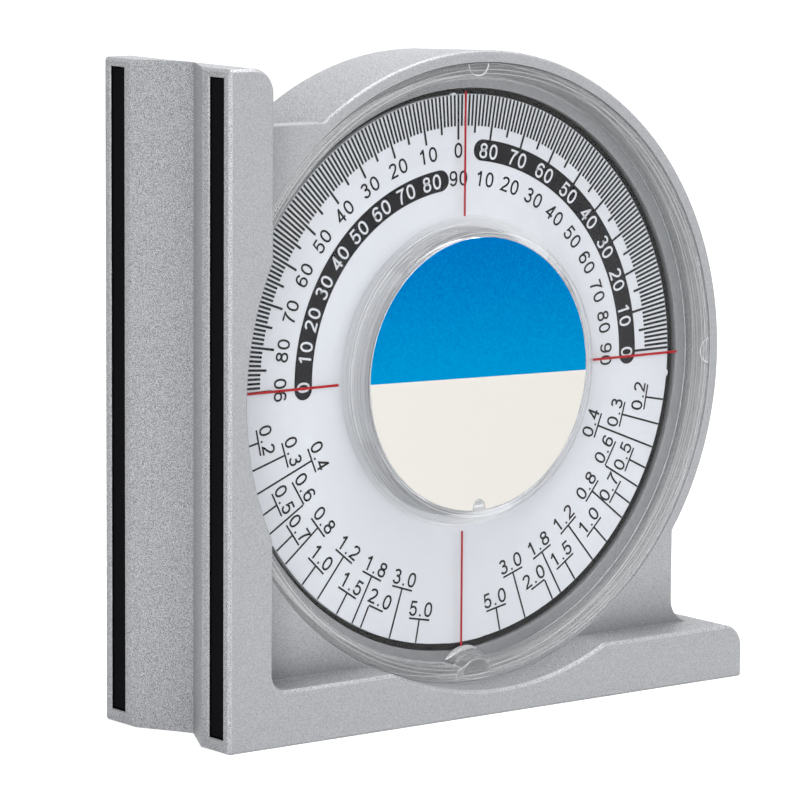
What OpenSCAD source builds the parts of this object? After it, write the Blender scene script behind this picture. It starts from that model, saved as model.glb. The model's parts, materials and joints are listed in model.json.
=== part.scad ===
// Magnetic slope finder: an L-shaped cast frame with a drum in which a weighted dial hangs level.
// Origin: middle of the footprint, at the underside of the base bar. +Z is up, the dial faces -Y.

/* [Bars] */
// Overall width, along the base bar
frame_w = 105; // [104:0.5:125]
// Overall height of the upright bar
frame_h = 105; // [100:0.5:120]
// Depth of both bars, front to back
frame_d = 33.6; // [32:0.2:42]
// Thickness of the upright bar
upright_t = 8.4; // [7.6:0.1:11]
// Thickness of the base bar
base_t = 8.9; // [7:0.1:12]
// Rounding on the free end of each bar
bar_end_r = 4; // [2:0.5:5.5]
// Fillet in the inside corner between the bars
bar_corner_r = 2.6; // [1:0.2:4]
// Bevel along the edges of the bars
edge_bevel = 0.45; // [0.2:0.05:0.8]

/* [Vee rails and magnets] */
// Width of each flat rail beside the vee groove
rail_w = 7.2; // [6:0.1:9]
// Depth of the vee groove, which sits on a pipe
vee_depth = 5.2; // [3:0.1:5.4]
// Width of a magnet strip
magnet_w = 3.25; // [2.4:0.05:4]
// Thickness of a magnet strip
magnet_t = 1.6; // [1:0.1:1.8]
// Thickness of the steel keeper strip under a magnet
keeper_t = 0.6; // [0.4:0.1:0.8]
// How far a magnet lies below the face of its rail
magnet_recess = 0.4; // [0.2:0.05:0.6]
// Gap between a magnet and the walls of its slot
magnet_gap = 0.2; // [0.1:0.05:0.4]
// Casting left above a magnet slot
slot_top = 1.4; // [1:0.1:6]
// Casting left below a magnet slot
slot_bottom = 2.1; // [1:0.1:6]
// Bevel round the mouth of a magnet slot
slot_bevel = 0.25; // [0.1:0.05:0.4]

/* [Drum and webs] */
// Distance of the dial axis from the upright's outer face
dial_x = 53.5; // [53:0.5:60]
// Height of the dial axis above the underside
dial_z = 54; // [53:0.5:60]
// Outer radius of the drum at its front rim
drum_r = 51.5; // [51:0.1:53]
// How much smaller the drum is at its back, as mould draft
drum_draft = 0.8; // [0.2:0.1:1.5]
// How far the faces of drum and webs lie behind the faces of the bars
face_recess = 7.1; // [5:0.1:8]
// Rounding on the drum's front rim
rim_round = 0.6; // [0.3:0.1:1]
// Thickness of the drum's back wall
back_wall = 3; // [2.4:0.1:4]
// Thickness of the webs between the drum and the bars
web_t = 4.2; // [3:0.1:6]
// Height of the side web's top edge above the underside
web_top = 95.4; // [92:0.2:98]
// Reach of the lower web from the upright's outer face
web_reach = 95.3; // [92:0.1:96.5]
// Fillet between the lower web's free edge and the base bar
web_fillet = 4; // [2:0.5:5]
// Play between the lens seat and the round relief in the bars
relief_gap = 0.3; // [0.2:0.1:0.9]

/* [Lens] */
// Outer radius of the clear lens
lens_r = 49.5; // [48.8:0.1:49.8]
// Gap between the lens and its seat in the drum, on the radius
lens_gap = 0.15; // [0.1:0.05:0.3]
// Thickness of the lens plate over the dial
plate_t = 1.7; // [1.2:0.1:2.4]
// Width of the raised lip round the lens
lip_w = 2.25; // [1.6:0.05:3]
// Height of the lip above the plate
lip_h = 2.5; // [1.5:0.1:3]
// Bevel on the edges of the lip and of the raised centre
lens_bevel = 0.3; // [0.1:0.05:0.5]
// Thickness of the sealing ring under the lens
gasket_t = 0.3; // [0.2:0.1:0.5]
// Width of the sealing ring
gasket_w = 2; // [1.5:0.1:3]
// Radius of the raised centre at its foot
boss_foot_r = 24.7; // [24:0.1:26]
// Radius of the raised centre at its top
boss_top_r = 23.4; // [23:0.1:23.8]
// Height of the raised centre above the plate
boss_h = 3.6; // [2.6:0.1:4.4]
// Wall of the hollow raised centre
boss_wall = 1.6; // [1.2:0.1:1.8]
// Radius of the grip lug where it leaves the plate
lug_foot_r = 4.9; // [4.5:0.1:6]
// Radius of the grip lug's upper part at its step
lug_step_r = 3.9; // [3.2:0.1:4]
// Radius of the grip lug at its tip
lug_tip_r = 3; // [2:0.1:3]
// Height of the grip lug above the plate
lug_h = 3.4; // [2.8:0.1:4.4]
// Radius of the ejector marks on the lip
mark_r = 2; // [1.5:0.1:2.2]

/* [Centre label] */
// Radius of the round label
label_r = 21.9; // [20:0.1:22.2]
// Thickness of the label
label_t = 0.2; // [0.1:0.05:0.3]
// Gap round the label, also its depth below the rim of its recess
label_gap = 0.1; // [0.05:0.05:0.2]
// Radius of the peg that keeps the label upright
key_r = 1.2; // [0.8:0.1:1.6]

/* [Dial] */
// Radius of the dial
dial_r = 44.3; // [43.6:0.1:44.5]
// Thickness of the dial
dial_t = 1; // [0.8:0.1:1.6]
// Gap between the back of the lens and the dial
dial_gap = 1.2; // [0.8:0.1:1.8]
// Gap between the dial's edge and the drum's bore
well_gap = 1.1; // [0.8:0.1:1.4]

/* [Counterweight] */
// Inner radius of the counterweight
weight_in_r = 25; // [18:0.5:28]
// Outer radius of the counterweight
weight_out_r = 41; // [38:0.5:42]
// Thickness of the counterweight
weight_t = 2.6; // [1.6:0.1:3]
// Angle that the counterweight spans
weight_angle = 110; // [80:5:150]
// Radius of the dial's studs that carry the counterweight
stud_r = 1.3; // [1:0.1:1.8]
// Outer radius of a push-on washer
washer_r = 2.8; // [2.2:0.1:3.6]
// Thickness of a push-on washer
washer_t = 0.5; // [0.3:0.1:0.8]

/* [Pivot] */
// Radius of the steel axle
axle_r = 1; // [0.8:0.05:1.4]
// Radius of the thin tips at the ends of the axle
tip_r = 0.5; // [0.35:0.05:0.6]
// Running gap between a tip and its bearing, on the radius
tip_gap = 0.04; // [0.02:0.01:0.08]
// End play of the axle between its two thrust jewels
end_play = 0.2; // [0.1:0.05:0.3]
// Outer radius of a bearing bush
bush_r = 2; // [1.7:0.1:2.3]
// Length of a bearing bush
bush_l = 1.8; // [1.4:0.1:2]
// Thickness of the thrust jewel behind a bush
jewel_t = 0.6; // [0.4:0.1:0.8]
// Wall of the posts that hold the bearings
post_wall = 1.4; // [1:0.1:2]
// Height of the rear post above the drum's floor
rear_post_h = 3; // [2.8:0.1:4]
// Radius of the hub's flange behind the dial
hub_flange_r = 5; // [4:0.1:7]
// Thickness of the hub's flange
hub_flange_t = 1; // [0.6:0.1:1.4]
// Radius of the hub's barrel
hub_r = 2.4; // [2:0.1:3]
// Length of the hub's barrel behind its flange
hub_tail_l = 2; // [1:0.1:2.4]
// Radius of the washer in front of the dial
hub_washer_r = 4.4; // [3.4:0.1:6]
// Thickness of the washer in front of the dial
hub_washer_t = 0.4; // [0.3:0.1:0.6]
// Thickness of the collar that locks the axle in the hub
collar_t = 0.6; // [0.4:0.1:1]

/* [Hidden] */
$fn = 96;
// Overrun of every cut past the surface that it opens
over = 0.5;

// Frame
left_x = -frame_w/2;
front_y = -frame_d/2;
vee_half_w = frame_d/2 - rail_w;
web_inside = 4;
// Levels on the dial axis, counted towards the front from the middle of the frame's depth
bar_face = frame_d/2;
drum_face = bar_face - face_recess;
plate_front = drum_face - lip_h;
plate_back = plate_front - plate_t;
seat_level = plate_back - gasket_t;
boss_face = plate_front + boss_h;
boss_ceiling = boss_face - boss_wall;
label_seat = boss_face - label_t - label_gap;
dial_front = plate_back - dial_gap;
dial_back = dial_front - dial_t;
weight_back = dial_back - weight_t;
well_floor = back_wall - drum_face;
// Radii about the dial axis
seat_r = lens_r + lens_gap;
relief_r = seat_r + relief_gap;
well_r = dial_r + well_gap;
lip_r = lens_r - lip_w;
gasket_r = lens_r - lens_gap;
label_recess_r = label_r + label_gap;
key_place_r = label_recess_r - key_r/2;
stud_place_r = (weight_in_r + weight_out_r)/2;
// Grip lug: inset of its flat side from the lens edge, height and width of its step
lug_inset = 0.2;
lug_step_h = 1.8;
lug_step_w = 0.4;
// Ejector marks: their depth and places, clockwise from the top
mark_depth = 0.15;
mark_angles = [0, 90, 270];
// Counterweight: places of the studs either side of straight down, and their free end
stud_angle = weight_angle/4;
stud_end = 0.4;
stud_l = weight_t + washer_t + stud_end;
// Pivot: pockets, the gap between a bush and the axle's shoulder, and the hub's staked end
pocket_l = bush_l + jewel_t;
post_r = bush_r + post_wall;
front_mouth = boss_ceiling - pocket_l;
rear_mouth = well_floor + rear_post_h;
shoulder_gap = 0.3;
hub_stake = 0.2;
hub_back = dial_back - hub_flange_t - hub_tail_l;
hub_front = dial_front + hub_washer_t + hub_stake;
// Magnet slots
slot_w = magnet_w + 2*magnet_gap;
slot_h = frame_h - slot_bottom - slot_top;
slot_depth = magnet_recess + magnet_t + keeper_t;
slot_y = bar_face - rail_w/2;
strip_h = slot_h - 2*magnet_gap;

// Puts its children on the dial axis at a level, with their Z towards the front
module on_dial_axis(level = 0)
  translate([left_x + dial_x, -level, dial_z])
    rotate([90, 0, 0])
      children();

// Puts its children at a radius and a clockwise angle from the top of the dial
module at_clock(angle, radius)
  rotate(-angle)
    translate([0, radius, 0])
      children();

// Straight tube standing on its end
module tube(r_out, r_in, length)
  difference() {
    cylinder(r = r_out, h = length);
    translate([0, 0, -over])
      cylinder(r = r_in, h = length + 2*over);
  }

// What a rounding leaves of a square corner at the origin, with the solid towards +X and +Y
module corner_waste(r)
  difference() {
    translate([-over, -over])
      square(r + over);
    translate([r, r])
      circle(r);
  }

// What a bevel leaves of the same corner
module bevel_waste(bevel)
  polygon([[-over, -over], [bevel + over, -over], [-over, bevel + over]]);

// The two bars from the front, with the upright's outer face at x = 0
module bar_outline()
  difference() {
    union() {
      square([upright_t, frame_h]);
      square([frame_w, base_t]);
      translate([upright_t, base_t])
        difference() {
          square(bar_corner_r);
          translate([bar_corner_r, bar_corner_r])
            circle(bar_corner_r);
        }
    }
    translate([upright_t, frame_h])
      rotate(180)
        corner_waste(bar_end_r);
    translate([frame_w, base_t])
      rotate(180)
        corner_waste(bar_end_r);
    bevel_waste(edge_bevel);
    translate([frame_w, 0])
      rotate(90)
        bevel_waste(edge_bevel);
    translate([0, frame_h])
      rotate(-90)
        bevel_waste(edge_bevel);
  }

// The webs from the front: one beside the upright, one over the base with a filleted free edge
module web_outline() {
  translate([upright_t - web_inside, base_t - web_inside])
    square([dial_x - upright_t + web_inside, web_top - base_t + web_inside]);
  translate([upright_t - web_inside, base_t - web_inside])
    square([web_reach - upright_t + web_inside, dial_z - base_t + web_inside]);
  translate([web_reach, base_t])
    difference() {
      translate([-over, -over])
        square(web_fillet + over);
      translate([web_fillet, web_fillet])
        circle(web_fillet);
    }
}

// Gives an outline seen from the front its depth, between two levels
module slab(low, high)
  translate([left_x, -low, 0])
    rotate([90, 0, 0])
      linear_extrude(high - low)
        children();

// Drum before it is hollowed: drafted wall, rounded front rim, bevelled back edge
module drum_solid() {
  back_r = drum_r - drum_draft;
  on_dial_axis()
    rotate_extrude()
      difference() {
        polygon([[0, -drum_face], [back_r - rim_round, -drum_face],
                 [back_r, rim_round - drum_face], [drum_r, drum_face - rim_round],
                 [drum_r, drum_face], [0, drum_face]]);
        translate([drum_r, drum_face])
          rotate(180)
            corner_waste(rim_round);
      }
}

// Relief in the bars, lens seat and well of the drum, turned in one profile
module drum_hollow()
  on_dial_axis()
    rotate_extrude()
      polygon([[0, well_floor], [well_r, well_floor], [well_r, seat_level], [seat_r, seat_level],
               [seat_r, drum_face], [relief_r, drum_face], [relief_r, bar_face - edge_bevel],
               [relief_r + edge_bevel + over, bar_face + over], [0, bar_face + over]]);

// Straight bevel cut for an edge that runs up from the origin
module bevel_up(length)
  linear_extrude(length)
    bevel_waste(edge_bevel);

// Straight bevel cut for an edge that runs to the right from the origin
module bevel_right(length)
  mirror([1, 0, -1])
    bevel_up(length);

// Bevel cut round the convex end of a bar
module bevel_round_end()
  rotate([90, 0, 0])
    rotate_extrude(angle = 90)
      polygon([[bar_end_r + over, over], [bar_end_r - edge_bevel - over, over],
               [bar_end_r + over, -edge_bevel - over]]);

// Bevel cut round the concave fillet between the bars
module bevel_round_corner()
  rotate([90, 0, 0])
    rotate(180)
      rotate_extrude(angle = 90)
        polygon([[bar_corner_r - over, over], [bar_corner_r + edge_bevel + over, over],
                 [bar_corner_r - over, -edge_bevel - over]]);

// All bevels round the front face of the bars
module front_bevels()
  translate([left_x, front_y, 0]) {
    translate([0, 0, -over])
      bevel_up(frame_h + 2*over);
    translate([-over, 0, 0])
      bevel_right(frame_w + 2*over);
    translate([-over, 0, frame_h])
      mirror([0, 0, 1])
        bevel_right(upright_t - bar_end_r + over);
    translate([upright_t - bar_end_r, 0, frame_h - bar_end_r])
      bevel_round_end();
    translate([upright_t, 0, base_t + bar_corner_r])
      mirror([1, 0, 0])
        bevel_up(frame_h - bar_end_r - base_t - bar_corner_r);
    translate([upright_t + bar_corner_r, 0, base_t + bar_corner_r])
      bevel_round_corner();
    translate([upright_t + bar_corner_r, 0, base_t])
      mirror([0, 0, 1])
        bevel_right(frame_w - bar_end_r - upright_t - bar_corner_r);
    translate([frame_w - bar_end_r, 0, base_t - bar_end_r])
      bevel_round_end();
    translate([frame_w, 0, -over])
      mirror([1, 0, 0])
        bevel_up(base_t - bar_end_r + over);
  }

// Vee groove down the outer face of the upright, between the two rails
module vee_cut()
  translate([left_x, 0, -over])
    linear_extrude(frame_h + 2*over)
      polygon([[-over, -vee_half_w], [0, -vee_half_w], [vee_depth, 0], [0, vee_half_w],
               [-over, vee_half_w]]);

// Puts its children on the rail of one side: -1 is the front rail, 1 the rear one
module on_rail(side, depth, z)
  translate([left_x + depth, side*slot_y, z])
    children();

// Magnet slot, with a bevelled mouth where two tapered prisms cross
module slot_cut(side) {
  mouth_w = slot_w/2 + slot_bevel + over;
  on_rail(side, -over, slot_bottom)
    translate([0, -slot_w/2, 0])
      cube([slot_depth + over, slot_w, slot_h]);
  on_rail(side, 0, slot_bottom)
    intersection() {
      translate([0, 0, -slot_bevel - over])
        linear_extrude(slot_h + 2*slot_bevel + 2*over)
          polygon([[-over, -mouth_w], [slot_bevel, -slot_w/2], [slot_bevel, slot_w/2],
                   [-over, mouth_w]]);
      translate([0, mouth_w, 0])
        rotate([90, 0, 0])
          linear_extrude(2*mouth_w)
            polygon([[-over, -slot_bevel - over], [slot_bevel, 0], [slot_bevel, slot_h],
                     [-over, slot_h + slot_bevel + over]]);
    }
}

// Strip that lies in a magnet slot
module strip(side, depth, thickness)
  on_rail(side, depth, slot_bottom + magnet_gap)
    translate([0, -magnet_w/2, 0])
      cube([thickness, magnet_w, strip_h]);

module body_casting() color("silver") {
  difference() {
    union() {
      slab(-bar_face, bar_face)
        bar_outline();
      slab(drum_face - web_t, drum_face)
        web_outline();
      drum_solid();
    }
    drum_hollow();
    vee_cut();
    slot_cut(-1);
    slot_cut(1);
    front_bevels();
    mirror([0, 1, 0])
      front_bevels();
  }
  difference() {
    on_dial_axis(well_floor - back_wall/2)
      cylinder(r = post_r, h = rear_post_h + back_wall/2);
    on_dial_axis(rear_mouth - pocket_l)
      cylinder(r = bush_r, h = pocket_l + over);
  }
}

module magnet_front() color("dimgray")
  strip(-1, magnet_recess, magnet_t);

module magnet_rear() color("dimgray")
  strip(1, magnet_recess, magnet_t);

module keeper_front() color("gray")
  strip(-1, magnet_recess + magnet_t, keeper_t);

module keeper_rear() color("gray")
  strip(1, magnet_recess + magnet_t, keeper_t);

// Half-round grip lug: a drafted foot, a step and a narrower tip, flat on its lower side
module grip_lug()
  translate([0, lug_inset - lens_r, 0])
    rotate_extrude(angle = 180)
      polygon([[0, plate_back + plate_t/2], [lug_foot_r, plate_back + plate_t/2],
               [lug_foot_r, plate_front], [lug_step_r + lug_step_w, plate_front + lug_step_h],
               [lug_step_r, plate_front + lug_step_h], [lug_tip_r, plate_front + lug_h],
               [0, plate_front + lug_h]]);

// Turned part of the lens: lip, plate, hollow centre with the label recess and the bearing post
module lens_turned()
  rotate_extrude()
    polygon([[0, label_seat], [label_recess_r, label_seat], [label_recess_r, boss_face],
             [boss_top_r - lens_bevel, boss_face], [boss_top_r, boss_face - lens_bevel],
             [boss_foot_r, plate_front], [lip_r, plate_front],
             [lip_r, drum_face - lens_bevel], [lip_r + lens_bevel, drum_face],
             [lens_r - lens_bevel, drum_face], [lens_r, drum_face - lens_bevel],
             [lens_r, plate_back], [boss_foot_r - boss_wall, plate_back],
             [boss_top_r - boss_wall, boss_ceiling], [post_r, boss_ceiling],
             [post_r, front_mouth], [bush_r, front_mouth], [bush_r, boss_ceiling],
             [0, boss_ceiling]]);

module lens() color("azure", 0.4)
  on_dial_axis()
    difference() {
      union() {
        lens_turned();
        grip_lug();
        translate([0, -key_place_r, boss_ceiling + boss_wall/4])
          cylinder(r = key_r, h = boss_face - boss_ceiling - boss_wall/4);
      }
      for (angle = mark_angles)
        at_clock(angle, lens_r)
          translate([0, 0, drum_face - mark_depth])
            cylinder(r = mark_r, h = mark_depth + over);
    }

module lens_gasket() color("gainsboro")
  on_dial_axis(seat_level)
    tube(gasket_r, gasket_r - gasket_w, gasket_t);

// Round label with a notch for the peg that keeps it upright
module centre_label() color("dodgerblue")
  on_dial_axis(label_seat)
    difference() {
      cylinder(r = label_r, h = label_t);
      translate([0, -key_place_r, -over])
        cylinder(r = key_r + label_gap, h = label_t + 2*over);
    }

// Bearing bush with its bore for an axle tip
module bush()
  tube(bush_r, tip_r + tip_gap, bush_l);

module front_bearing() color("goldenrod")
  on_dial_axis(front_mouth)
    bush();

module front_jewel() color("firebrick")
  on_dial_axis(front_mouth + bush_l)
    cylinder(r = bush_r, h = jewel_t);

module rear_bearing() color("goldenrod")
  on_dial_axis(rear_mouth - bush_l)
    bush();

module rear_jewel() color("firebrick")
  on_dial_axis(rear_mouth - pocket_l)
    cylinder(r = bush_r, h = jewel_t);

// Dial disc with its two moulded studs
module dial_plate() color("whitesmoke")
  on_dial_axis(dial_back) {
    tube(dial_r, hub_r, dial_t);
    for (side = [-1, 1])
      at_clock(180 + side*stud_angle, stud_place_r)
        translate([0, 0, -stud_l])
          cylinder(r = stud_r, h = stud_l + dial_t/2);
  }

module dial_hub() color("darkgoldenrod")
  on_dial_axis() {
    translate([0, 0, hub_back])
      tube(hub_r, axle_r, hub_front - hub_back);
    translate([0, 0, dial_back - hub_flange_t])
      tube(hub_flange_r, hub_r - (hub_r - axle_r)/2, hub_flange_t);
  }

module hub_washer() color("gray")
  on_dial_axis(dial_front)
    tube(hub_washer_r, hub_r, hub_washer_t);

// Axle turned in one piece, with a thin tip at each end
module pivot_axle() color("lightgray") {
  front_end = front_mouth + bush_l - end_play/2;
  rear_end = rear_mouth - bush_l + end_play/2;
  on_dial_axis()
    rotate_extrude()
      polygon([[0, rear_end], [tip_r, rear_end], [tip_r, rear_mouth + shoulder_gap],
               [axle_r, rear_mouth + shoulder_gap], [axle_r, front_mouth - shoulder_gap],
               [tip_r, front_mouth - shoulder_gap], [tip_r, front_end], [0, front_end]]);
}

module axle_collar() color("slategray")
  on_dial_axis(hub_back - collar_t)
    tube(hub_r, axle_r, collar_t);

// Sector of a ring that hangs below the axle, with a hole for each stud
module counterweight() color("dimgray")
  on_dial_axis(weight_back)
    difference() {
      rotate(270 - weight_angle/2)
        rotate_extrude(angle = weight_angle)
          translate([weight_in_r, 0])
            square([weight_out_r - weight_in_r, weight_t]);
      for (side = [-1, 1])
        at_clock(180 + side*stud_angle, stud_place_r)
          translate([0, 0, -over])
            cylinder(r = stud_r, h = weight_t + 2*over);
    }

// Push-on washer that holds the counterweight on the stud of one side
module stud_washer(side)
  on_dial_axis(weight_back - washer_t)
    at_clock(180 + side*stud_angle, stud_place_r)
      tube(washer_r, stud_r, washer_t);

module stud_washer_left() color("gray")
  stud_washer(1);

module stud_washer_right() color("gray")
  stud_washer(-1);

body_casting();
magnet_front();
magnet_rear();
keeper_front();
keeper_rear();
lens();
lens_gasket();
centre_label();
front_bearing();
front_jewel();
rear_bearing();
rear_jewel();
dial_plate();
dial_hub();
hub_washer();
pivot_axle();
axle_collar();
counterweight();
stud_washer_left();
stud_washer_right();
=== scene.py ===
# %% [markdown]
# # A magnetic slope finder, dressed for its photograph
#
# The tool is a pocket inclinometer: a cast L-shaped frame holds a drum, and a weighted dial
# hangs level inside the drum behind a clear lens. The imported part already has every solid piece.
# This scene gives each of them its real finish and adds what is printed or painted on: the
# degree scale, the slope scale and the red cross lines. It then lights the tool as a product
# picture does and stands the camera where the photographer stood.

import json
import math

import bpy
from mathutils import Matrix, Vector


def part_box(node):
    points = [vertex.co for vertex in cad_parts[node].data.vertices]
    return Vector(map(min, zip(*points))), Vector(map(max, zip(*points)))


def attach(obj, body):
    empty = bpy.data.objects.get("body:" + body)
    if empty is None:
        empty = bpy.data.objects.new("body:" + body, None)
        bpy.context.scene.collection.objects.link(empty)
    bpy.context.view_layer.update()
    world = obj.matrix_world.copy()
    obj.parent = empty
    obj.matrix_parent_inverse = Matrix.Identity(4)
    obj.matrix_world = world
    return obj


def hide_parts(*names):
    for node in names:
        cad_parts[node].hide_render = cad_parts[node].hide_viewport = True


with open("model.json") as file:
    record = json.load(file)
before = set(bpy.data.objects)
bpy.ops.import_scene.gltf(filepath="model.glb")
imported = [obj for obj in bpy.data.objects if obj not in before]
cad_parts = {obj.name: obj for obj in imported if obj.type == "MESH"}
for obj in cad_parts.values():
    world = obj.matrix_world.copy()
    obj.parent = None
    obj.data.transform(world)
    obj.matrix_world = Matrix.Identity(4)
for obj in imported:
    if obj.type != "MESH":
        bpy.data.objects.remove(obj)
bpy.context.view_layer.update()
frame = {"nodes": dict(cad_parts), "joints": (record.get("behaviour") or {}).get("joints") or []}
nodes = frame["nodes"]

# %% [markdown]
# ## Measuring what the print must fit
#
# The printed scales sit on the dial and the cross lines on the back of the lens. Their places
# could be typed in, but they would be wrong as soon as the part changes, so they are read from
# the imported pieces. Lengths below are in millimetres and become metres where they are used.
# Levels count from the middle of the tool's depth towards the viewer.

# %% Read where the axis, the dial and the lens are
MM = 0.001
hinge = frame["joints"][0]["pos_m"]
AXIS_X, AXIS_Z = hinge[0] / MM, hinge[2] / MM


def front_level(node):
    """How far the front of a node lies before the middle of the tool's depth, in mm."""
    return -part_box(node)[0].y / MM


def back_level(node):
    """The same for the back of a node."""
    return -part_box(node)[1].y / MM


dial_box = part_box("dial_plate")
DIAL_R = (dial_box[1].x - dial_box[0].x) / 2 / MM
DIAL_FRONT = front_level("dial_plate")
LENS_BACK = back_level("lens")
print("dial radius %.2f, dial front %.2f, lens back %.2f" % (DIAL_R, DIAL_FRONT, LENS_BACK))


def on_tool(x, y, level):
    """Point at x to the right of and y above the dial axis, at a level, in the tool's frame."""
    return Vector(((AXIS_X + x) * MM, -level * MM, (AXIS_Z + y) * MM))


# %% [markdown]
# ## How a print is made
#
# Ink has an outline but hardly any thickness. It could be a picture laid over the dial, but that
# blurs when seen close, so each print is one mesh of flat polygons that floats a few hundredths
# of a millimetre above the surface. Everything on the dial is placed by a clock angle, counted
# clockwise from the top, and a radius. The whole print is turned by half a degree, because the
# dial in the photograph hangs that much off level.

# %% Points, flat pieces and strokes
DIAL_TILT = -0.53
INK_LIFT = 0.02


def clock_point(angle, radius, across=0.0, turn=0.0):
    """Point at a clock angle and a radius, moved across by a length to the clockwise side."""
    a = math.radians(angle + turn)
    return (radius * math.sin(a) + across * math.cos(a),
            radius * math.cos(a) - across * math.sin(a))


def put_in(name, data):
    """Object made of a mesh, a lamp or a camera, put in the scene."""
    thing = bpy.data.objects.new(name, data)
    bpy.context.scene.collection.objects.link(thing)
    return thing


def flat_piece(name, polygons, level, material, body):
    """One mesh of flat polygons that face the viewer; each polygon runs round its own corners."""
    verts, faces = [], []
    for polygon in polygons:
        area = sum(p[0] * q[1] - q[0] * p[1] for p, q in zip(polygon, polygon[1:] + polygon[:1]))
        ring = polygon if area > 0 else polygon[::-1]
        faces.append(list(range(len(verts), len(verts) + len(ring))))
        verts += [on_tool(x, y, level) for x, y in ring]
    mesh = bpy.data.meshes.new(name)
    mesh.from_pydata([tuple(v) for v in verts], [], faces)
    mesh.materials.append(material)
    piece = put_in(name, mesh)
    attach(piece, body)
    print("%s: %d polygons" % (name, len(faces)))
    return piece


def radial_stroke(angle, r_from, r_to, width, across=0.0, turn=DIAL_TILT):
    """A line along a radius, as a polygon; across shifts it sideways."""
    return [clock_point(angle, r_from, across - width / 2, turn),
            clock_point(angle, r_from, across + width / 2, turn),
            clock_point(angle, r_to, across + width / 2, turn),
            clock_point(angle, r_to, across - width / 2, turn)]


# %% [markdown]
# ## Colour and finish
#
# A finish could be painted on a picture, or worked out for each point from its place. Here it is
# worked out, so it stays sharp at any size. Each finish is a small recipe: one shader with its
# own values, and where the real surface is uneven, a noise that varies its colour or height. The
# helpers below make the parts of such a recipe.

# %% Parts of a finish
def finish_of(name, colour, roughness, metallic=0.0, **extra):
    """Plain finish: returns the material, its shader and its node tree."""
    material = bpy.data.materials.new(name)
    material.use_nodes = True
    tree = material.node_tree
    shader = tree.nodes["Principled BSDF"]
    shader.inputs["Base Color"].default_value = (*colour, 1)
    shader.inputs["Roughness"].default_value = roughness
    shader.inputs["Metallic"].default_value = metallic
    for socket, value in extra.items():
        shader.inputs[socket.replace("_", " ")].default_value = value
    return material, shader, tree


def own_place(tree):
    """Place of each point in the tool's own coordinates, so a pattern stays with its piece."""
    return tree.nodes.new("ShaderNodeTexCoord").outputs["Object"]


def noise_of(tree, grain, roughness=0.5):
    """Value of a noise whose grains are about that many millimetres wide."""
    noise = tree.nodes.new("ShaderNodeTexNoise")
    noise.inputs["Scale"].default_value = 1 / (grain * MM)
    noise.inputs["Roughness"].default_value = roughness
    tree.links.new(own_place(tree), noise.inputs["Vector"])
    return noise.outputs["Fac"]


def ramp_of(tree, source, start, first, end, last):
    """Colour that runs from first to last while the source runs from start to end.

    A colour is three numbers, or one number for a grey.
    """
    ramp = tree.nodes.new("ShaderNodeValToRGB")
    stops = ((start, first), (end, last))
    for element, (place, colour) in zip(ramp.color_ramp.elements, stops):
        element.position = place
        element.color = (*(colour if isinstance(colour, tuple) else (colour,) * 3), 1)
    tree.links.new(source, ramp.inputs["Fac"])
    return ramp.outputs["Color"]


# %% [markdown]
# ### The casting
#
# The frame looks like a light-alloy die casting with a silver lacquer. Seen close, its surface is
# a fine salt-and-pepper grain. Real bumps in the mesh would need millions of faces, so the grain
# is a noise a few tenths of a millimetre wide. It shifts the colour here and the height below.

# %% Grain of the casting
GRAIN_SIZE, GRAIN_ROUGHNESS = 0.142, 0.6
GRAIN_FROM, GRAIN_TO = 0.33, 0.67
CAST_ROUGHNESS, CAST_METAL = 0.48, 0.3
CAST_DARK = (0.105, 0.110, 0.121)
CAST_LIGHT = (0.680, 0.692, 0.718)

cast_finish, shader, tree = finish_of("cast_alloy", CAST_LIGHT, CAST_ROUGHNESS, CAST_METAL)
grain = noise_of(tree, GRAIN_SIZE, GRAIN_ROUGHNESS)
tone = ramp_of(tree, grain, GRAIN_FROM, CAST_DARK, GRAIN_TO, CAST_LIGHT)
print("casting: grains of %.2f mm" % GRAIN_SIZE)

# %% [markdown]
# ### Sums inside a finish
#
# The finishes below ask questions of each point, such as how far it lies from the dial's axis.
# A short program could answer them, but that makes the picture slow, so small maths nodes do it.
# Linked by hand they would fill pages, so each kind of question is a helper.

# %% Sums and tests
def value_node(tree, operation, first, second):
    """Math node; each input is a socket to link or a plain number."""
    node = tree.nodes.new("ShaderNodeMath")
    node.operation = operation
    for socket, value in zip(node.inputs, (first, second)):
        if isinstance(value, (int, float)):
            socket.default_value = value
        else:
            tree.links.new(value, socket)
    return node.outputs["Value"]


def below(tree, value, limit):
    """1 where a value lies below the limit, else 0."""
    return value_node(tree, "LESS_THAN", value, limit)


def between(tree, value, low, high):
    """1 where a value lies between low and high, else 0."""
    return value_node(tree, "MULTIPLY", value_node(tree, "GREATER_THAN", value, low),
                      below(tree, value, high))


def axes_of(tree, vector):
    """The three parts of a vector, to be picked by X, Y or Z."""
    parts = tree.nodes.new("ShaderNodeSeparateXYZ")
    tree.links.new(vector, parts.inputs["Vector"])
    return parts.outputs


def axis_radius(tree, x=0.0, y=0.0):
    """Distance from the dial axis, or from a line at x and y beside it, and the level, in mm."""
    axes = axes_of(tree, own_place(tree))
    side = value_node(tree, "SUBTRACT", axes["X"], (AXIS_X + x) * MM)
    height = value_node(tree, "SUBTRACT", axes["Z"], (AXIS_Z + y) * MM)
    square = value_node(tree, "ADD", value_node(tree, "POWER", side, 2.0),
                        value_node(tree, "POWER", height, 2.0))
    radius = value_node(tree, "DIVIDE", value_node(tree, "SQRT", square, 0.0), MM)
    return radius, value_node(tree, "DIVIDE", axes["Y"], -MM)


# %% [markdown]
# Two colours or two shaders are mixed by a share, which may differ from point to point.

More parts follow.
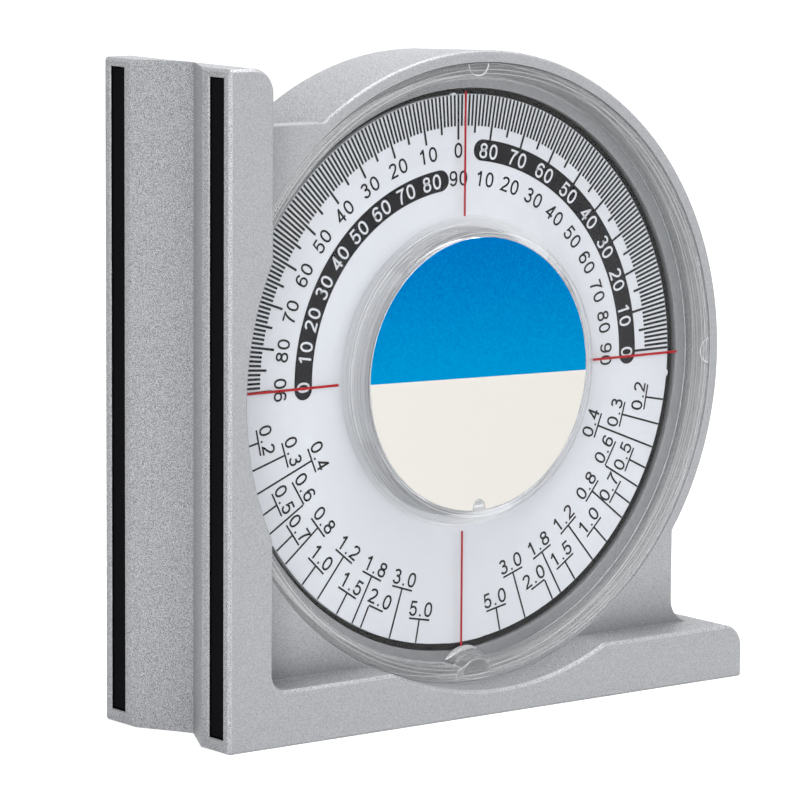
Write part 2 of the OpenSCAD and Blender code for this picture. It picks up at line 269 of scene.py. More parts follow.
# %% Mixing
def mixed_colour(tree, share, first, second):
    """Colour between first and second; each is a socket or a plain colour."""
    mix = tree.nodes.new("ShaderNodeMix")
    mix.data_type = "RGBA"
    tree.links.new(share, mix.inputs["Factor"])
    for socket, value in ((mix.inputs[6], first), (mix.inputs[7], second)):
        if isinstance(value, tuple):
            socket.default_value = (*value, 1)
        else:
            tree.links.new(value, socket)
    return mix.outputs[2]


def mixed_shader(tree, share, first, second):
    """Shader between first and second; the share is a socket or a plain number."""
    mix = tree.nodes.new("ShaderNodeMixShader")
    if isinstance(share, float):
        mix.inputs["Fac"].default_value = share
    else:
        tree.links.new(share, mix.inputs["Fac"])
    tree.links.new(first, mix.inputs[1])
    tree.links.new(second, mix.inputs[2])
    return mix.outputs["Shader"]


# %% [markdown]
# ### Painted edge highlights and smooth fronts
#
# The casting's small rounded edges catch the light and look a little brighter than its faces. They
# could be rounded in the mesh, but the imported piece stays as it is, so the shader compares a
# softened normal with the true one and paints a highlight into the colour where they part. The
# front faces look smoother than the rest, so there most of the grain gives way to its plain mean.

# %% Edges and fronts of the casting
PROBES = 4
EDGE_SOFTNESS = 0.25
EDGE_HIGHLIGHT, EDGE_HIGHLIGHT_SHARE = (0.60, 0.61, 0.625), 0.85
EDGE_FROM, EDGE_TO = 0.86, 0.985
CAST_PLAIN = (0.373, 0.382, 0.401)
FRONT_FACING, FRONT_SMOOTH = 0.92, 0.65


def edge_of(tree, softness):
    """Softened normal, and how far it agrees with the true one: 1 on a face, less on an edge."""
    soft = tree.nodes.new("ShaderNodeBevel")
    soft.samples = PROBES
    soft.inputs["Radius"].default_value = softness * MM
    true_normal = tree.nodes.new("ShaderNodeNewGeometry")
    agreement = tree.nodes.new("ShaderNodeVectorMath")
    agreement.operation = "DOT_PRODUCT"
    tree.links.new(soft.outputs["Normal"], agreement.inputs[0])
    tree.links.new(true_normal.outputs["True Normal"], agreement.inputs[1])
    return soft.outputs["Normal"], agreement.outputs["Value"]


soft_normal, agreement = edge_of(tree, EDGE_SOFTNESS)
# Painted highlight: the colour is lightened on the edges, where the two normals part.
painted_edge_highlight = ramp_of(tree, agreement, EDGE_FROM, EDGE_HIGHLIGHT_SHARE, EDGE_TO, 0.0)
facing = axes_of(tree, tree.nodes.new("ShaderNodeNewGeometry").outputs["True Normal"])
to_front = value_node(tree, "ABSOLUTE", facing["Y"], 0.0)
smoothed = value_node(tree, "MULTIPLY", FRONT_SMOOTH,
                      value_node(tree, "GREATER_THAN", to_front, FRONT_FACING))
colour = mixed_colour(tree, smoothed, tone, CAST_PLAIN)
colour = mixed_colour(tree, painted_edge_highlight, colour, EDGE_HIGHLIGHT)
print("casting: edges rubbed over %.2f mm, fronts %d %% smooth"
      % (EDGE_SOFTNESS, 100 * FRONT_SMOOTH))

# %% [markdown]
# The hollows and the seat under the lens get painted shade. Lamps alone leave the hollows too
# light, so the shader feels how closed in a point is and darkens its colour by that much. The seat
# is found by its radius and level, and its colour is darkened too.

# %% Hollows and lens seat
HOLLOW_REACH, HOLLOW_SHADE = 10.0, 0.43
HOLLOW_FROM, HOLLOW_TO = 0.30, 0.96
SEAT_LEVEL = 5.15
SEAT_R, SEAT_TOP, SEAT_SHADE = 49.9, 8.5, 0.6

hollow = tree.nodes.new("ShaderNodeAmbientOcclusion")
hollow.samples = PROBES
hollow.only_local = True
hollow.inputs["Distance"].default_value = HOLLOW_REACH * MM
# Painted shade in the hollows: the more closed in a point is, the darker its colour.
painted_hollow_shade = ramp_of(tree, hollow.outputs["AO"], HOLLOW_FROM, HOLLOW_SHADE, HOLLOW_TO, 1.0)
radius, level = axis_radius(tree)
in_seat = value_node(tree, "MULTIPLY", below(tree, radius, SEAT_R),
                     between(tree, level, SEAT_LEVEL, SEAT_TOP))
# Painted shade on the lens seat.
painted_seat_shade = mixed_colour(tree, in_seat, (1.0,) * 3, (SEAT_SHADE,) * 3)
for painted_shade_factor in (painted_hollow_shade, painted_seat_shade):
    shaded = tree.nodes.new("ShaderNodeVectorMath")
    shaded.operation = "MULTIPLY"
    tree.links.new(colour, shaded.inputs[0])
    tree.links.new(painted_shade_factor, shaded.inputs[1])
    colour = shaded.outputs["Vector"]
tree.links.new(colour, shader.inputs["Base Color"])
print("casting: hollows toned down to %.2f, seat to %.2f" % (HOLLOW_SHADE, SEAT_SHADE))

# %% [markdown]
# ### Painted shade in the well and the slots
#
# The shade on the walls of the magnets' slots and in the well behind the dial is painted black,
# which makes the thin dark ring round the dial. A second material on those faces would end at their
# edges, while shade fades, so tests on the place choose the black. It takes all colour inside the
# bore's radius and behind the lens seat, and thins out towards the seat. A box round each strip
# finds the shaded walls of its slot.

# %% Well and slots of the casting
WELL_SHADE_BLACK = (0.004, 0.004, 0.005)
WELL_R, WELL_FLOOR = 45.43, -7.0
FADE_END, FADE_LENGTH = 5.9, 2.0
SLOT_SHADE_RISE, SLOT_SHADE_W = 0.22, 0.24

painted_well_shade = value_node(tree, "MULTIPLY", below(tree, radius, WELL_R),
                     between(tree, level, WELL_FLOOR, SEAT_LEVEL))
fading = value_node(tree, "DIVIDE", value_node(tree, "SUBTRACT", FADE_END, level), FADE_LENGTH)
painted_well_shade = value_node(tree, "MULTIPLY", painted_well_shade, value_node(tree, "MINIMUM", fading, 1.0))
axes = axes_of(tree, own_place(tree))
strip_low, strip_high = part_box("magnet_rear")
painted_slot_shade = between(tree, axes["X"], strip_low.x - SLOT_SHADE_RISE * MM, strip_high.x)
# Both strips lie equally far from the middle, so one test on the plain depth finds both.
for along, low, high in (
        (value_node(tree, "ABSOLUTE", axes["Y"], 0.0), strip_low.y, strip_high.y),
        (axes["Z"], strip_low.z, strip_high.z)):
    painted_slot_shade = value_node(tree, "MULTIPLY", painted_slot_shade,
                       between(tree, along, low - SLOT_SHADE_W * MM, high + SLOT_SHADE_W * MM))
# Painted shade: a matt black shader takes the place of the casting in the well and the slots.
painted_shade_black = tree.nodes.new("ShaderNodeBsdfDiffuse")
painted_shade_black.inputs["Color"].default_value = (*WELL_SHADE_BLACK, 1)
casting_and_painted_shade = mixed_shader(tree, value_node(tree, "MAXIMUM", painted_well_shade, painted_slot_shade),
                     shader.outputs["BSDF"], painted_shade_black.outputs["BSDF"])
tree.links.new(casting_and_painted_shade, tree.nodes["Material Output"].inputs["Surface"])
print("casting: black inside radius %.2f mm and round the strips" % WELL_R)

# %% [markdown]
# The same noise that shifts the colour also gives the height of the grain. It tilts the light on
# the surface only, and leaves the mesh as it is.

# %% Height of the grain
BUMP_STRENGTH, BUMP_HEIGHT = 0.3, 0.05

bump = tree.nodes.new("ShaderNodeBump")
bump.inputs["Strength"].default_value = BUMP_STRENGTH
bump.inputs["Distance"].default_value = BUMP_HEIGHT * MM
tree.links.new(grain, bump.inputs["Height"])
tree.links.new(soft_normal, bump.inputs["Normal"])
tree.links.new(bump.outputs["Normal"], shader.inputs["Normal"])
print("casting: grain %.2f mm high" % BUMP_HEIGHT)

# %% [markdown]
# ### The clear lens
#
# The lens is moulded acrylic. Plain glass would bend light rightly but leave the dial behind it
# in shade, because few rays find a lamp through it. The real lens is thin and clear and its dial
# brightly lit, so rays that only look for a lamp pass almost straight through. The plate is
# polished, and its reflections are kept to a fifth of acrylic's, because the photograph shows
# hardly any on it. The lip and the wall of the raised centre show fine turning lines. There a
# share of the light goes straight on, tinted line by line, and a little of it is scattered, which
# looks faintly milky.

# %% Acrylic
ACRYLIC_IOR = 1.49
ACRYLIC_TINT = (0.99, 0.993, 0.996)
GLINT = 0.20
LIGHT_PASSED = 0.92
LINES_PER_MM = 4.5
LINE_DARK, LINE_LIGHT = (0.66, 0.67, 0.69), (1.0, 1.0, 1.0)
DARK_LINE_END, LIGHT_LINE_START = 0.30, 0.42
MILK_LINE_START, MILK_LINE_END = 0.58, 0.66
CLOUD = (0.93, 0.94, 0.95)
CORNER_SOFTNESS, CORNER_HIGHLIGHT = 0.17, 0.8
CORNER_FROM, CORNER_TO = 0.88, 0.985
SPECKS_FROM, SPECKS_TO = 0.40, 0.66
RING_HALF_W, RING_DEPTH, RING_HIGHLIGHT = 0.08, 0.3, 0.75
DRUM_FACE = 9.7


def acrylic(name, straight, milky, line_milk=0.0, grain_milk=0.0, rings=()):
    """Clear acrylic: straight is the share of light that goes unbent, milky the share scattered.

    On the bright lines the scattered share is line_milk. Grain adds specks of scattered light,
    round corners get a painted highlight, and rings are (x, y, radius) of thin circles of painted
    highlight.
    """
    material, shader, tree = finish_of(name, ACRYLIC_TINT, 0.0, IOR=ACRYLIC_IOR,
                                       Transmission_Weight=1.0,
                                       Specular_Tint=(GLINT, GLINT, GLINT, 1))
    radius, level = axis_radius(tree)
    lines = tree.nodes.new("ShaderNodeTexNoise")
    lines.noise_dimensions = "1D"
    lines.inputs["Scale"].default_value = LINES_PER_MM
    tree.links.new(value_node(tree, "SUBTRACT", radius, level), lines.inputs["W"])
    line = lines.outputs["Fac"]
    unbent = tree.nodes.new("ShaderNodeBsdfTransparent")
    tree.links.new(ramp_of(tree, line, DARK_LINE_END, LINE_DARK, LIGHT_LINE_START, LINE_LIGHT),
                   unbent.inputs["Color"])
    body = mixed_shader(tree, straight, shader.outputs["BSDF"], unbent.outputs["BSDF"])
    if milky:
        cloud = tree.nodes.new("ShaderNodeBsdfDiffuse")
        cloud.inputs["Color"].default_value = (*CLOUD, 1)
        specks = noise_of(tree, GRAIN_SIZE, GRAIN_ROUGHNESS)
        share = ramp_of(tree, line, MILK_LINE_START, milky, MILK_LINE_END, line_milk)
        # Painted highlights: white scatter on round corners and on thin rings round the ejector
        # marks.
        for more in (ramp_of(tree, edge_of(tree, CORNER_SOFTNESS)[1],
                             CORNER_FROM, CORNER_HIGHLIGHT, CORNER_TO, 0.0),
                     ramp_of(tree, specks, SPECKS_FROM, 0.0, SPECKS_TO, grain_milk)):
            share = value_node(tree, "MAXIMUM", share, more)
        for x, y, ring_r in rings:
            off = value_node(tree, "SUBTRACT", axis_radius(tree, x, y)[0], ring_r)
            thin = below(tree, value_node(tree, "ABSOLUTE", off, 0.0), RING_HALF_W)
            on_face = value_node(tree, "GREATER_THAN", level, DRUM_FACE - RING_DEPTH)
            ring = value_node(tree, "MULTIPLY", thin, on_face)
            share = value_node(tree, "MAXIMUM", share,
                               value_node(tree, "MULTIPLY", ring, RING_HIGHLIGHT))
        body = mixed_shader(tree, share, body, cloud.outputs["BSDF"])
    path = tree.nodes.new("ShaderNodeLightPath")
    to_lamp = tree.nodes.new("ShaderNodeBsdfTransparent")
    to_lamp.inputs["Color"].default_value = (LIGHT_PASSED,) * 3 + (1,)
    whole = mixed_shader(tree, path.outputs["Is Shadow Ray"], body, to_lamp.outputs["BSDF"])
    tree.links.new(whole, tree.nodes["Material Output"].inputs["Surface"])
    return material


# %% [markdown]
# One recipe gives five finishes: the clear plate, the milky wall of the raised centre, the lip
# with its grain and thin rings of painted highlight round the ejector marks, the lug, and the
# frosted peg. One finish for the whole lens would be simpler, but in the photograph these parts
# look different.

# %% Five finishes of the lens
MARK_ANGLES, MARK_R = (0, 90, 270), 2.0
LENS_R = (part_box("lens")[1].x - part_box("lens")[0].x) / 2 / MM
lens_finish = acrylic("clear_plastic", straight=0.0, milky=0.0)
milky_finish = acrylic("clear_plastic_milky", straight=0.65, milky=0.06, line_milk=0.5)
mark_highlight_rings = [(*clock_point(angle, LENS_R), MARK_R) for angle in MARK_ANGLES]
lip_finish = acrylic("clear_plastic_lip", straight=0.65, milky=0.06, line_milk=0.5,
                     grain_milk=0.35, rings=mark_highlight_rings)
lug_finish = acrylic("clear_plastic_lug", straight=0.2, milky=0.08, line_milk=0.22)
frosted_finish = acrylic("clear_plastic_frosted", straight=0.6, milky=0.35, line_milk=0.35)
print("acrylic: 5 finishes,", len(mark_highlight_rings), "rings on the lip")

# %% [markdown]
# ### The label
#
# The round sticker is bright blue above and cream below, with the joint a little under level. It
# could be two half discs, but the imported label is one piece, so a test on the place of each point
# chooses between the colours. The blue deepens towards the top and is faintly grained, as printed
# paper is.

# %% The two-tone label
BLUE_TOP, BLUE_FOOT = (0.0, 0.178, 0.540), (0.0, 0.312, 0.668)
CREAM = (0.877, 0.851, 0.798)
JOINT_SLOPE, JOINT_DROP = -0.0237, 0.45
BLUE_HEIGHT = 22.0
PAPER_GRAIN, GRAIN_SHARE = 0.45, 1.6

label_finish, shader, tree = finish_of("label", CREAM, 0.7, Specular_IOR_Level=0.0)
axes = axes_of(tree, own_place(tree))
slanted = value_node(tree, "MULTIPLY", axes["X"], JOINT_SLOPE)
joint = value_node(tree, "ADD", slanted, (AXIS_Z - JOINT_DROP - JOINT_SLOPE * AXIS_X) * MM)
above = value_node(tree, "SUBTRACT", axes["Z"], joint)
paper = value_node(tree, "SUBTRACT", noise_of(tree, PAPER_GRAIN), 0.5)
speck = value_node(tree, "MULTIPLY", paper, GRAIN_SHARE)
climb = value_node(tree, "DIVIDE", above, BLUE_HEIGHT * MM)
blue = ramp_of(tree, value_node(tree, "ADD", climb, speck), 0.0, BLUE_FOOT, 1.0, BLUE_TOP)
two_tone = mixed_colour(tree, value_node(tree, "GREATER_THAN", above, 0.0), CREAM, blue)
tree.links.new(two_tone, shader.inputs["Base Color"])
print("label: joint %.2f mm below the axis" % JOINT_DROP)

# %% [markdown]
# ### The small pieces
#
# Magnets are matt black, the dial is a cool white, its ink is nearly black, and the pivot parts
# are steel, brass and ruby. At their size one even colour each is enough, and only the sealing
# ring has a grain. Most of these hide inside the drum, but each still has a finish of its kind.

# %% Finishes of the small pieces
magnet_finish = finish_of("magnet", (0.005, 0.005, 0.006), 0.85, Specular_IOR_Level=0.04)[0]
dial_finish = finish_of("dial", (0.520, 0.537, 0.572), 0.6, Specular_IOR_Level=0.2)[0]
ink_finish = finish_of("dial_ink", (0.006, 0.006, 0.008), 0.8, Specular_IOR_Level=0.0)[0]
red_finish = finish_of("red_line", (0.30, 0.0, 0.004), 0.7, Specular_IOR_Level=0.0)[0]
seal_finish, shader, tree = finish_of("seal", CAST_LIGHT, 0.6)
SEAL_DARK, SEAL_LIGHT = (0.20, 0.205, 0.22), (0.70, 0.71, 0.735)
seal_tone = ramp_of(tree, noise_of(tree, GRAIN_SIZE, GRAIN_ROUGHNESS),
                    GRAIN_FROM, SEAL_DARK, GRAIN_TO, SEAL_LIGHT)
tree.links.new(seal_tone, shader.inputs["Base Color"])
brass_finish = finish_of("brass", (0.60, 0.42, 0.16), 0.3, 1.0)[0]
ruby_finish = finish_of("jewel", (0.45, 0.01, 0.03), 0.08)[0]
steel_finish = finish_of("steel", (0.55, 0.55, 0.57), 0.32, 1.0)[0]
plated_finish = finish_of("weight_steel", (0.30, 0.30, 0.32), 0.4, 1.0)[0]

FINISH_OF_NODE = {
    "body_casting": cast_finish, "magnet_front": magnet_finish, "magnet_rear": magnet_finish,
    "keeper_front": steel_finish, "keeper_rear": steel_finish, "lens": lens_finish,
    "lens_gasket": seal_finish, "centre_label": label_finish, "front_bearing": brass_finish,
    "front_jewel": ruby_finish, "rear_bearing": brass_finish, "rear_jewel": ruby_finish,
    "dial_plate": dial_finish, "dial_hub": brass_finish, "hub_washer": steel_finish,
    "pivot_axle": steel_finish, "axle_collar": brass_finish, "counterweight": plated_finish,
    "stud_washer_left": steel_finish, "stud_washer_right": steel_finish}
for name, finish in FINISH_OF_NODE.items():
    nodes[name].data.materials.clear()
    nodes[name].data.materials.append(finish)
print("finishes on", len(FINISH_OF_NODE), "of", len(nodes), "pieces")

# %% [markdown]
# ## The lens, turned with soft corners
#
# Every corner of a moulding is a little round, and on clear plastic those round corners are what
# the eye sees: each is a thin bright or dark line. A bevel would round all corners of the packed
# lens alike, so the lens is turned anew from a profile whose corners carry their own fillets. A
# profile corner is a radius from the axis, a level, and a fillet.

# %% Round the corners of a profile
def rounded(corners, steps=5):
    """Open or closed line of (r, level, fillet) corners, as points with each fillet drawn."""
    points = []
    for i, (x, y, fillet) in enumerate(corners):
        if fillet == 0:
            points.append((x, y))
            continue
        here = Vector((x, y))
        back = (Vector(corners[i - 1][:2]) - here).normalized()
        ahead = (Vector(corners[(i + 1) % len(corners)][:2]) - here).normalized()
        half = back.angle(ahead) / 2
        reach = fillet / math.tan(half)
        centre = here + (back + ahead).normalized() * fillet / math.sin(half)
        start, end = here + back * reach - centre, here + ahead * reach - centre
        for k in range(steps + 1):
            t = k / steps
            arm = (start * (1 - t) + end * t).normalized() * fillet
            points.append(tuple(centre + arm))
    return points


# %% [markdown]
# A profile becomes a body when each of its points is turned about the axis. The Screw modifier
# does this too, but the helper below also closes a half turn, which the lug needs.

# %% Turn a profile
SAME = 1e-6


def turned(name, profile, steps, sweep=360.0):
    """Closed mesh turned from (r, level) points that begin and end on the axis."""
    full = sweep == 360.0
    rings = steps if full else steps + 1
    verts, faces, ring_of = [], [], []
    for r, level in profile:
        if r < SAME:
            ring_of.append([len(verts)])
            verts.append((0.0, 0.0, level))
            continue
        ring_of.append(list(range(len(verts), len(verts) + rings)))
        for k in range(rings):
            a = math.radians(sweep * k / steps)
            verts.append((r * math.cos(a), r * math.sin(a), level))
    for low, high in zip(ring_of, ring_of[1:]):
        for k in range(steps):
            n = (k + 1) % rings
            quad = [low[k % len(low)], low[n % len(low)], high[n % len(high)], high[k % len(high)]]
            clean = [v for j, v in enumerate(quad) if v != quad[j - 1]]
            if len(clean) >= 3:
                faces.append(clean)
    if not full:
        faces.append([ring[0] for ring in ring_of])
        faces.append([ring[-1] for ring in ring_of][::-1])
    mesh = bpy.data.meshes.new(name)
    mesh.from_pydata([tuple(on_tool(x, y, level)) for x, y, level in verts], [], faces)
    return mesh


# %% [markdown]
# The profile of the lens starts on the axis in the label's recess, runs over the raised centre,
# the plate and the lip to the rim, and returns along the back to the post of the bearing. Its
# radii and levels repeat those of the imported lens.

# %% Profile of the lens
PLATE_FRONT, BOSS_FACE, BOSS_CEILING = 7.2, 10.8, 9.2
LIP_R = 47.25
LABEL_SEAT, LABEL_RECESS_R = 10.5, 22.0
POST_R, BUSH_R, POST_MOUTH = 3.4, 2.0, 6.8
TURN_STEPS = 288
lens_profile = rounded([
    (0, LABEL_SEAT, 0), (LABEL_RECESS_R, LABEL_SEAT, 0), (LABEL_RECESS_R, BOSS_FACE, 0.12),
    (23.4, BOSS_FACE, 0.5), (24.7, PLATE_FRONT, 0.5), (LIP_R, PLATE_FRONT, 0.5),
    (LIP_R, DRUM_FACE, 0.35), (LENS_R, DRUM_FACE, 0.4), (LENS_R, LENS_BACK, 0.15),
    (23.1, LENS_BACK, 0.4), (21.8, BOSS_CEILING, 0.6), (POST_R, BOSS_CEILING, 0.3),
    (POST_R, POST_MOUTH, 0.15), (BUSH_R, POST_MOUTH, 0), (BUSH_R, BOSS_CEILING, 0),
    (0, BOSS_CEILING, 0)])
lens_mesh = turned("clear_lens", lens_profile, TURN_STEPS)
print("lens profile:", len(lens_profile), "points,", len(lens_mesh.polygons), "faces")

# %% [markdown]
# ### Lug, peg and ejector marks
#
# A half-round grip lug stands on the lip at the bottom, and a small peg keeps the label upright.
# Three shallow half-moons on the lip are where pins pushed the lens out of its mould. Lug and peg
# could be pieces pushed into the lens, but light would then meet inner walls, so they are joined
# to the turned lens, and the marks are cut from it.

# %% Join lug and peg, cut the marks
LUG_DROP = 49.3
LUG_STEPS = 48
MARK_DEPTH = 0.15
KEY_R, KEY_DROP = 1.2, 21.4


def shifted(mesh, x, y):
    """Moves a mesh sideways and up from the axis."""
    mesh.transform(Matrix.Translation((x * MM, 0, y * MM)))
    return mesh


lug_profile = rounded([(0, 6.4, 0), (4.9, 6.4, 0), (4.9, PLATE_FRONT, 0), (4.3, 9.0, 0.3),
                       (3.9, 9.0, 0.1), (3.0, 10.6, 0.3), (0, 10.6, 0)])
lug = shifted(turned("lug", lug_profile, LUG_STEPS, 180.0), 0, -LUG_DROP)
peg_profile = rounded([(0, 9.6, 0), (KEY_R, 9.6, 0), (KEY_R, BOSS_FACE, 0.2), (0, BOSS_FACE, 0)])
peg = shifted(turned("peg", peg_profile, LUG_STEPS), 0, -KEY_DROP)
mark_profile = [(0, DRUM_FACE - MARK_DEPTH), (MARK_R, DRUM_FACE - MARK_DEPTH),
                (MARK_R, DRUM_FACE + 1), (0, DRUM_FACE + 1)]
marks = [shifted(turned("mark", mark_profile, LUG_STEPS), *clock_point(angle, LENS_R))
         for angle in MARK_ANGLES]

clear_lens = put_in("clear_lens", lens_mesh)
tools = []
for shape, operation in [(lug, "UNION"), (peg, "UNION")] + [(m, "DIFFERENCE") for m in marks]:
    tool = put_in("tool", shape)
    tools.append(tool)
    cut = clear_lens.modifiers.new(operation, "BOOLEAN")
    cut.operation, cut.object, cut.solver = operation, tool, "EXACT"
seen = clear_lens.evaluated_get(bpy.context.evaluated_depsgraph_get())
whole = bpy.data.meshes.new_from_object(seen)
clear_lens.modifiers.clear()
clear_lens.data = whole
for tool in tools:
    bpy.data.objects.remove(tool)
print("joined lens:", len(whole.polygons), "faces")

# %% [markdown]
# The plate of the lens is clear, and the lip, the lug, the wall of the raised centre and the peg
# are cloudier. Separate pieces would show seams, so each face of the one lens gets one of the
# five acrylic finishes by its place.

# %% A finish for each face of the lens
SHARP_ANGLE = 32
CLEAR, MILKY, LIP, LUG, FROSTED = range(5)
BOSS_WALL = (22.05, 24.9)
LUG_FROM_R = 40
LIP_FILLET, LIP_FILLET_END = 0.45, 0.6
SLACK = 0.02

whole.materials.clear()
for finish in (lens_finish, milky_finish, lip_finish, lug_finish, frosted_finish):
    whole.materials.append(finish)
whole.shade_smooth()
whole.set_sharp_from_angle(angle=math.radians(SHARP_ANGLE))
for face in whole.polygons:
    x, y = face.center.x / MM - AXIS_X, face.center.z / MM - AXIS_Z
    r, level = math.hypot(x, y), -face.center.y / MM
    on_peg = math.hypot(x, y + KEY_DROP) < KEY_R + SLACK / 2 and r < LABEL_RECESS_R
    on_lip = r > LIP_R - LIP_FILLET
    on_lug = r > LUG_FROM_R and level > PLATE_FRONT + SLACK and (
        r < LIP_R - LIP_FILLET_END or level > DRUM_FACE + SLACK)
    if on_peg and level > BOSS_CEILING:
        face.material_index = FROSTED
    elif on_lug:
        face.material_index = LUG
    elif on_lip:
        face.material_index = LIP
    elif BOSS_WALL[0] < r < BOSS_WALL[1]:
        face.material_index = MILKY
    else:
        face.material_index = CLEAR
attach(clear_lens, "housing")
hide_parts("lens")
print("lens radius %.2f," % LENS_R, "finishes:", [finish.name for finish in whole.materials])

# %% [markdown]
# ## The degree scale
#
# Ticks stand at every degree of the dial's upper half. Those at five and ten degrees reach
# farther in. All of them end just inside the dial's edge. An array of one tick would make them
# all alike, so a loop over the degrees gives each its own length.

# %% Ticks
TICK_W = 0.40
RIM_GAP = 0.05
TICK_FROM = {1: 39.25, 5: 38.12, 10: 37.07}
ticks = []
for degree in range(-90, 91):
    kind = 10 if degree % 10 == 0 else 5 if degree % 5 == 0 else 1
    ticks.append(radial_stroke(degree, TICK_FROM[kind], DIAL_R - RIM_GAP, TICK_W))
print("ticks:", len(ticks))

# %% [markdown]
# ### Two black bands
#
# A band of a quarter circle runs behind the white figures: the outer one on the right, the inner
# one on the left. A band is a row of short quads, and a fan of points rounds each of its ends.
# Its two angles say about where the tips are, so the quads begin half a band's width inside them.
# A thick curve could draw it too, but points placed by clock angle fit the ticks exactly.

# %% Bands
BAND_STEP = 1.0
FAN_STEPS = 16


def band(a_from, a_to, r_in, r_out):
    """Quarter band with round ends, as polygons."""
    mid, half = (r_in + r_out) / 2, (r_out - r_in) / 2
    steps = max(2, round(abs(a_to - a_from) / BAND_STEP))
    stations = [a_from + (a_to - a_from) * i / steps for i in range(steps + 1)]
    polygons = [[clock_point(a, r_in, 0, DIAL_TILT), clock_point(a, r_out, 0, DIAL_TILT),
                 clock_point(b, r_out, 0, DIAL_TILT), clock_point(b, r_in, 0, DIAL_TILT)]
                for a, b in zip(stations, stations[1:])]
    for end, side in ((a_from, -1), (a_to, 1)):
        side *= 1 if a_to > a_from else -1
        turns = [math.pi * i / FAN_STEPS for i in range(FAN_STEPS + 1)]
        polygons.append([clock_point(end, mid - half * math.cos(t), side * half * math.sin(t),
                                     DIAL_TILT) for t in turns])
    return polygons


OUTER_BAND, OUTER_FROM, OUTER_TO = (33.72, 37.17), 5.1, 93.25
INNER_BAND, INNER_FROM, INNER_TO = (29.15, 32.60), -4.0, -93.3
END_HALF_W, END_AT_R = 1.72, 35.4
ROUND_END = math.degrees(END_HALF_W / END_AT_R)
bands = band(OUTER_FROM + ROUND_END, OUTER_TO - ROUND_END, *OUTER_BAND)
bands += band(INNER_FROM - ROUND_END, INNER_TO + ROUND_END, *INNER_BAND)
print("bands:", len(bands), "polygons")

# %% [markdown]
# ### Figures
#
# The figures are plain ones. Blender's own text could write them, but its letters have other
# shapes than those on the dial, so they are drawn here stroke by stroke. A stroke is a centre
# line, and each figure stands in a box one unit tall. The centre lines run half a stroke inside
# the box. A period gets a narrower box with a square dot.

# %% Shapes of the figures
FIGURE_H = 2.45
STROKE = 0.145
BOX_W, DOT_BOX_W, BOX_GAP = 0.65, 0.24, 0.18
HALF = STROKE / 2
TOP, FOOT, MID_X = 1 - HALF, HALF, 0.325
SQUARED = 0.9


def arc(cx, cy, rx, ry, start, sweep, steps=22):
    """Points along a slightly squared ellipse, from a start angle through a sweep."""
    points = []
    for i in range(steps + 1):
        a = math.radians(start + sweep * i / steps)
        c, t = math.cos(a), math.sin(a)
        points.append((cx + rx * math.copysign(abs(c) ** SQUARED, c),
                       cy + ry * math.copysign(abs(t) ** SQUARED, t)))
    return points


SIX = [arc(MID_X, 0.32, 0.2475, 0.2625, 0, 360),
       arc(0.335, 0.53, 0.2675, TOP - 0.53, 38, 152) + [(0.0775, 0.32)]]
FIGURE_LINES = {
    "0": [arc(MID_X, 0.5, 0.2575, TOP - 0.5, 0, 360)],
    "1": [[(0.12, 0.74), (0.26, 0.82), (0.37, 0.95)], [(0.385, 0), (0.385, 1)]],
    "2": [arc(0.32, 0.715, 0.235, TOP - 0.715, 172, -190)
          + [(0.49, 0.52), (0.36, 0.37), (0.20, 0.23), (0.085, FOOT), (0.61, FOOT)]],
    "3": [arc(0.31, 0.74, 0.205, TOP - 0.74, 165, -250) + [(0.24, 0.535)],
          [(0.24, 0.535)] + arc(0.315, 0.295, 0.245, 0.24, 88, -252)],
    "4": [[(0.45, 0), (0.45, 1)], [(0.45, 0.95), (0.07, 0.285), (0.63, 0.285)]],
    "5": [[(0.57, TOP), (0.17, TOP), (0.105, 0.50)]
          + arc(0.315, 0.33, 0.25, 0.2725, 138, -303)],
    "6": SIX,
    "7": [[(0.05, TOP), (0.59, TOP), (0.44, 0.74), (0.33, 0.50), (0.265, 0.25), (0.235, 0)]],
    "8": [arc(MID_X, 0.745, 0.215, TOP - 0.745, 0, 360),
          arc(MID_X, 0.30, 0.25, 0.30 - FOOT, 0, 360)],
    "9": [[(2 * MID_X - x, 1 - y) for x, y in line] for line in SIX],
    ".": [[(DOT_BOX_W / 2, 0), (DOT_BOX_W / 2, STROKE)]]}
print("figures:", " ".join(FIGURE_LINES))

# %% [markdown]
# A centre line becomes ink by stepping half a stroke to each side of every point, square to the
# line, or to the mean of two lines where they meet at a corner. A curve with a width would do the
# same, but each figure would be a curve of its own, and here all of one colour are one mesh.

# %% From centre lines to ink
SHARPEST = 0.5


def stroke_quads(line, width):
    """Quads along a centre line; a line that ends where it began is closed."""
    closed = math.dist(line[0], line[-1]) < SAME
    points = line[:-1] if closed else line
    count, sides = len(points), []
    for i, (x, y) in enumerate(points):
        before = points[i - 1] if closed or i > 0 else None
        after = points[(i + 1) % count] if closed or i < count - 1 else None
        normals = []
        for (ax, ay), (bx, by) in [pair for pair in ((before, (x, y)), ((x, y), after))
                                   if None not in pair]:
            long = math.dist((ax, ay), (bx, by))
            normals.append(Vector((-(by - ay) / long, (bx - ax) / long)))
        mean = sum(normals, Vector((0, 0))).normalized()
        reach = width / 2 / max(SHARPEST, mean.dot(normals[0]))
        sides.append(((x + mean.x * reach, y + mean.y * reach),
                      (x - mean.x * reach, y - mean.y * reach)))
    pairs = list(zip(sides, sides[1:] + sides[:1]))
    return [[a[0], b[0], b[1], a[1]] for a, b in (pairs if closed else pairs[:-1])]


